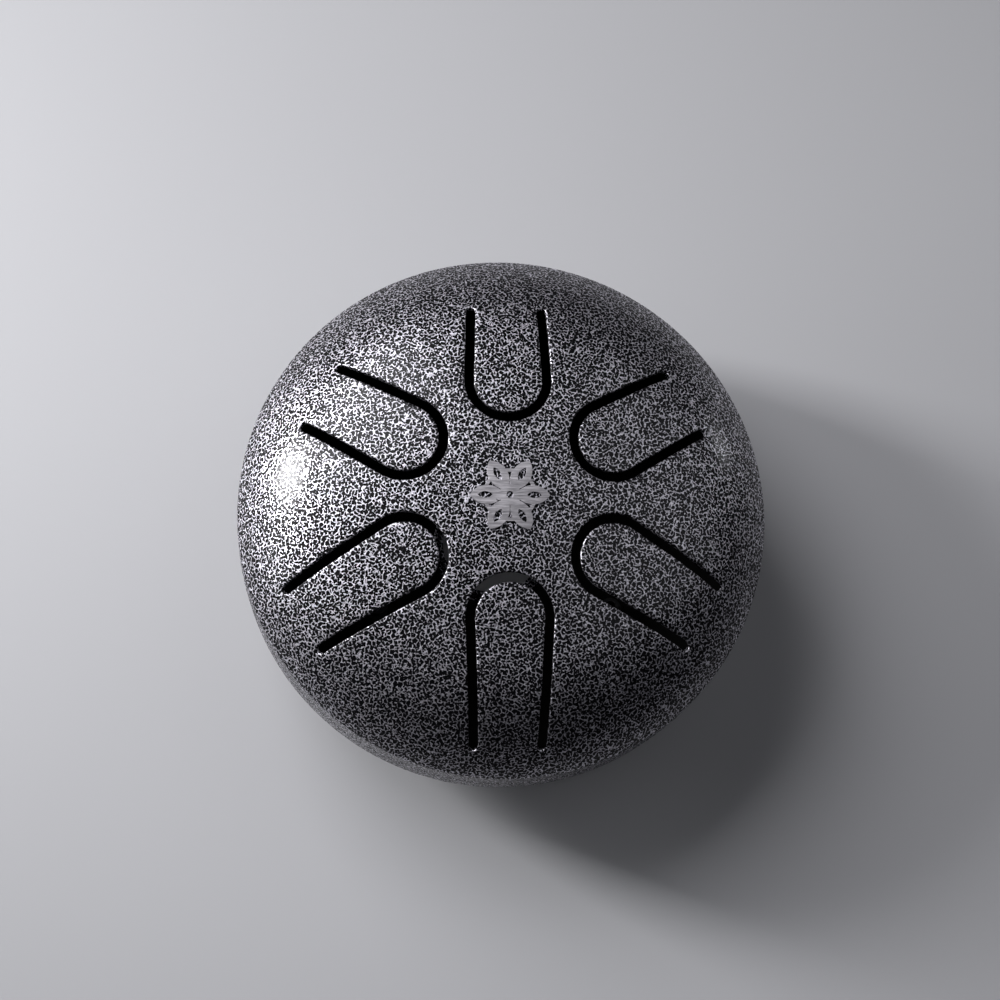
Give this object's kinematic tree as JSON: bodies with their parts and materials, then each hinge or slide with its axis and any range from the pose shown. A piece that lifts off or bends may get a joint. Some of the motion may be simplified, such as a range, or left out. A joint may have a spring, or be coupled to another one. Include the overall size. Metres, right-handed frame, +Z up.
{
  "type": "steel tongue drum",
  "caption": "Round steel tongue drum: a domed top with U-shaped slots that free radial tongues, a welded bottom shell with a sound hole, a centre rosette and rubber feet.",
  "frame": {"origin": "on the drum's axis, in the plane that the three feet stand on", "axes": "+Z up along the drum's axis, through the crown; +Y towards the root of the highest note's tongue"},
  "size_m": [0.1404, 0.1404, 0.071],
  "materials": {
    "hammertone_paint": "silver vein hammertone, semi-gloss",
    "emblem_metal": "brushed",
    "adhesive_film": "matte",
    "foot_rubber": "matte",
    "plated_steel": "zinc plated",
    "screw_steel": "black oxide"
  },
  "bodies": {
    "drum": {"top_shell": "hammertone_paint", "bottom_shell": "hammertone_paint", "rim_weld": "hammertone_paint", "emblem_adhesive": "adhesive_film", "centre_emblem": "emblem_metal", "foot_1": "foot_rubber", "foot_2": "foot_rubber", "foot_3": "foot_rubber", "foot_rivet_nuts": "plated_steel", "foot_washers": "plated_steel", "foot_screws": "screw_steel"},
    "tongue_c_low": {"tongue_c_low": "hammertone_paint"},
    "tongue_d": {"tongue_d": "hammertone_paint"},
    "tongue_e": {"tongue_e": "hammertone_paint"},
    "tongue_g": {"tongue_g": "hammertone_paint"},
    "tongue_a": {"tongue_a": "hammertone_paint"},
    "tongue_c_high": {"tongue_c_high": "hammertone_paint"}
  },
  "joints": [
    {"name": "tongue_c_low_flex", "type": "hinge", "parent": "drum", "child": "tongue_c_low", "pos_m": [0, -0.06228, 0.0559], "axis": [1, 0, 0], "range_deg": [-0.6, 0.6], "stiffness_Nm_per_rad": 20.6},
    {"name": "tongue_d_flex", "type": "hinge", "parent": "drum", "child": "tongue_d", "pos_m": [-0.05203, -0.03004, 0.05773], "axis": [0.5, -0.866, 0], "range_deg": [-0.6, 0.6], "stiffness_Nm_per_rad": 21.9},
    {"name": "tongue_e_flex", "type": "hinge", "parent": "drum", "child": "tongue_e", "pos_m": [0.05042, -0.02911, 0.05908], "axis": [0.5, 0.866, 0], "range_deg": [-0.6, 0.6], "stiffness_Nm_per_rad": 23.2},
    {"name": "tongue_g_flex", "type": "hinge", "parent": "drum", "child": "tongue_g", "pos_m": [-0.04782, 0.02761, 0.06096], "axis": [-0.5, -0.866, 0], "range_deg": [-0.6, 0.6], "stiffness_Nm_per_rad": 25.5},
    {"name": "tongue_a_flex", "type": "hinge", "parent": "drum", "child": "tongue_a", "pos_m": [0.04642, 0.0268, 0.06184], "axis": [-0.5, 0.866, 0], "range_deg": [-0.6, 0.6], "stiffness_Nm_per_rad": 26.9},
    {"name": "tongue_c_high_flex", "type": "hinge", "parent": "drum", "child": "tongue_c_high", "pos_m": [0, 0.051, 0.06305], "axis": [-1, 0, 0], "range_deg": [-0.6, 0.6], "stiffness_Nm_per_rad": 29.5}
  ]
}
